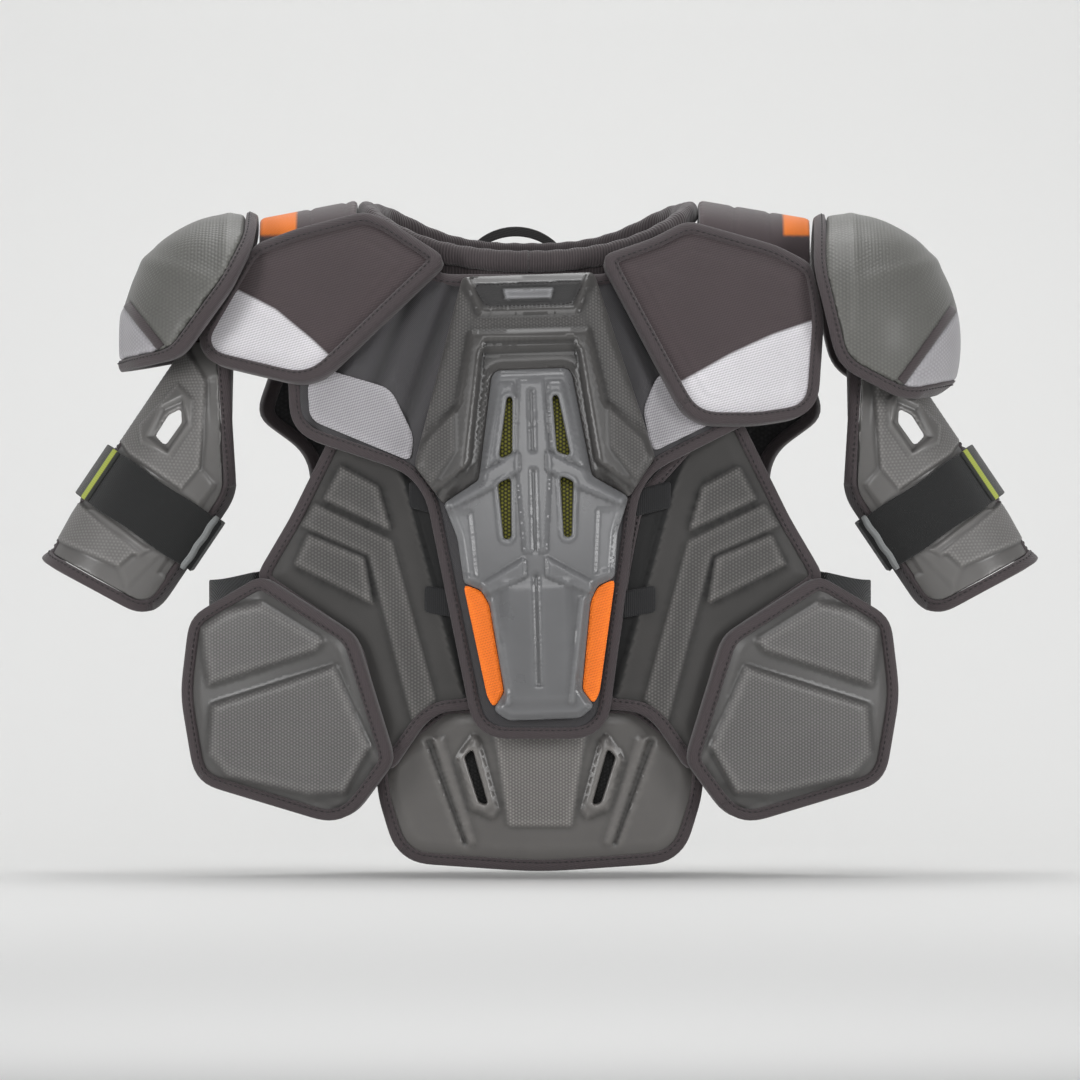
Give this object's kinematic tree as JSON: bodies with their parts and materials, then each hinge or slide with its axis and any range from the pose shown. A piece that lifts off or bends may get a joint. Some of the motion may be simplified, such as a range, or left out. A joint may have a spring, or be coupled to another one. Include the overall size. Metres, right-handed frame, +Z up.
{
  "type": "ice hockey shoulder pads",
  "caption": "Ice hockey shoulder pads: padded front and back joined over the shoulders, with lifting caps, clavicle flaps, rib and belly guards, arm guards and elastic straps.",
  "frame": {"origin": "middle of the neck opening at the height where the pads rest on the shoulders", "axes": "+Z up, -Y the wearer's front, +X the wearer's left"},
  "size_m": [0.646, 0.2454, 0.4324],
  "materials": {
    "shell_foam": "matte moulded foam with a fine knurl",
    "rib_suede": "brushed suede-like knit over foam",
    "bound_edge": "woven binding tape with overlock stitches",
    "flap_fabric": "fine weave over foam",
    "sternum_gloss": "satin moulded shell",
    "badge_patch": "stitched moulded patch, no mark",
    "white_mesh": "white spacer mesh",
    "orange_mesh": "orange spacer mesh",
    "vent_mesh": "olive and black open mesh",
    "stretch_black": "black stretch fabric over soft foam",
    "rib_knit": "ribbed knit",
    "elastic_black": "flat knitted elastic",
    "cap_cover": "moulded cap under a grey textured cover",
    "arm_foam": "light grey moulded foam",
    "tab_pull": "rubbery pull tab with a coloured stripe",
    "webbing": "woven webbing",
    "inner_lining": "brushed lining"
  },
  "bodies": {
    "front": {"chest_yoke": "stretch_black", "chest_yoke_binding": "bound_edge", "sternum_foam": "shell_foam", "sternum_badge": "badge_patch", "sternum_shell": "sternum_gloss", "sternum_vent_mesh": "vent_mesh", "sternum_side_mesh": "orange_mesh", "left_chest_mesh": "white_mesh", "right_chest_mesh": "white_mesh", "front_collar": "rib_knit", "left_shoulder_arch": "stretch_black", "right_shoulder_arch": "stretch_black", "yoke_tethers": "elastic_black", "left_rib_panel": "rib_suede", "left_rib_panel_binding": "bound_edge", "left_rib_liner": "inner_lining", "right_rib_panel": "rib_suede", "right_rib_panel_binding": "bound_edge", "right_rib_liner": "inner_lining"},
    "back": {"back_panel": "stretch_black", "back_panel_binding": "bound_edge", "spine_guard": "shell_foam", "left_scapula_pad": "shell_foam", "right_scapula_pad": "shell_foam", "left_back_rib_pad": "shell_foam", "right_back_rib_pad": "shell_foam", "back_collar": "rib_knit", "left_back_arch": "stretch_black", "right_back_arch": "stretch_black", "left_torso_strap": "elastic_black", "right_torso_strap": "elastic_black"},
    "kidney_wing": {"kidney_guard": "shell_foam", "kidney_guard_binding": "bound_edge"},
    "belly_apron": {"belly_guard": "rib_suede", "belly_guard_binding": "bound_edge"},
    "hanger": {"hanger_loop": "webbing"},
    "left_rib_wing": {"left_rib_guard": "shell_foam", "left_rib_guard_binding": "bound_edge"},
    "left_chest_flap": {"left_clavicle_flap": "flap_fabric", "left_clavicle_flap_binding": "bound_edge"},
    "left_cap": {"left_shoulder_cap": "cap_cover", "left_shoulder_cap_binding": "bound_edge", "left_shoulder_cap_lining": "inner_lining"},
    "left_arm": {"left_arm_guard": "arm_foam", "left_arm_guard_binding": "bound_edge", "left_arm_strap": "elastic_black"},
    "left_strap_end": {"left_strap_tab": "tab_pull"},
    "right_rib_wing": {"right_rib_guard": "shell_foam", "right_rib_guard_binding": "bound_edge"},
    "right_chest_flap": {"right_clavicle_flap": "flap_fabric", "right_clavicle_flap_binding": "bound_edge"},
    "right_cap": {"right_shoulder_cap": "cap_cover", "right_shoulder_cap_binding": "bound_edge", "right_shoulder_cap_lining": "inner_lining"},
    "right_arm": {"right_arm_guard": "arm_foam", "right_arm_guard_binding": "bound_edge", "right_arm_strap": "elastic_black"},
    "right_strap_end": {"right_strap_tab": "tab_pull"}
  },
  "joints": [
    {"name": "back_swing", "type": "hinge", "parent": "front", "child": "back", "pos_m": [0, 0.01, 0.015], "axis": [1, 0, 0], "range_deg": [0, 35]},
    {"name": "belly_fold", "type": "hinge", "parent": "front", "child": "belly_apron", "pos_m": [0, -0.09986, -0.311], "axis": [1, 0, 0], "range_deg": [0, 25]},
    {"name": "kidney_lift", "type": "hinge", "parent": "back", "child": "kidney_wing", "pos_m": [0, 0.10658, -0.256], "axis": [1, 0, 0], "range_deg": [0, 20]},
    {"name": "loop_fold", "type": "hinge", "parent": "back", "child": "hanger", "pos_m": [-0.016, 0.0873, -0.0158], "axis": [-1, 0, 0], "range_deg": [0, 80]},
    {"name": "left_rib_wrap", "type": "hinge", "parent": "front", "child": "left_rib_wing", "pos_m": [0.1405, -0.08718, -0.295], "axis": [0.5441, 0.1413, 0.827], "range_deg": [0, 18]},
    {"name": "right_rib_wrap", "type": "hinge", "parent": "front", "child": "right_rib_wing", "pos_m": [-0.1405, -0.08718, -0.295], "axis": [0.5441, -0.1413, -0.827], "range_deg": [0, 18]},
    {"name": "left_flap_lift", "type": "hinge", "parent": "front", "child": "left_chest_flap", "pos_m": [0.1365, -0.05254, -0.0115], "axis": [-0.9535, 0.0919, 0.2872], "range_deg": [0, 24]},
    {"name": "right_flap_lift", "type": "hinge", "parent": "front", "child": "right_chest_flap", "pos_m": [-0.15, -0.0457, -0.004], "axis": [-0.9534, -0.1031, -0.2835], "range_deg": [0, 24]},
    {"name": "left_cap_lift", "type": "hinge", "parent": "front", "child": "left_cap", "pos_m": [0.1785, 0, 0.006], "axis": [0, -1, 0], "range_deg": [0, 30]},
    {"name": "right_cap_lift", "type": "hinge", "parent": "front", "child": "right_cap", "pos_m": [-0.185, 0, 0.007], "axis": [0, 1, 0], "range_deg": [0, 30]},
    {"name": "left_arm_swing", "type": "hinge", "parent": "left_cap", "child": "left_arm", "pos_m": [0.228, 0, -0.095], "axis": [0, -1, 0], "range_deg": [-3, 6]},
    {"name": "right_arm_swing", "type": "hinge", "parent": "right_cap", "child": "right_arm", "pos_m": [-0.228, 0, -0.095], "axis": [0, 1, 0], "range_deg": [-3, 6]},
    {"name": "left_tab_peel", "type": "hinge", "parent": "left_arm", "child": "left_strap_end", "pos_m": [0.28184, 0.03, -0.16534], "axis": [-0.5592, 0, 0.829], "range_deg": [0, 55]},
    {"name": "right_tab_peel", "type": "hinge", "parent": "right_arm", "child": "right_strap_end", "pos_m": [-0.28184, 0.03, -0.16534], "axis": [-0.5592, 0, -0.829], "range_deg": [0, 55]}
  ]
}
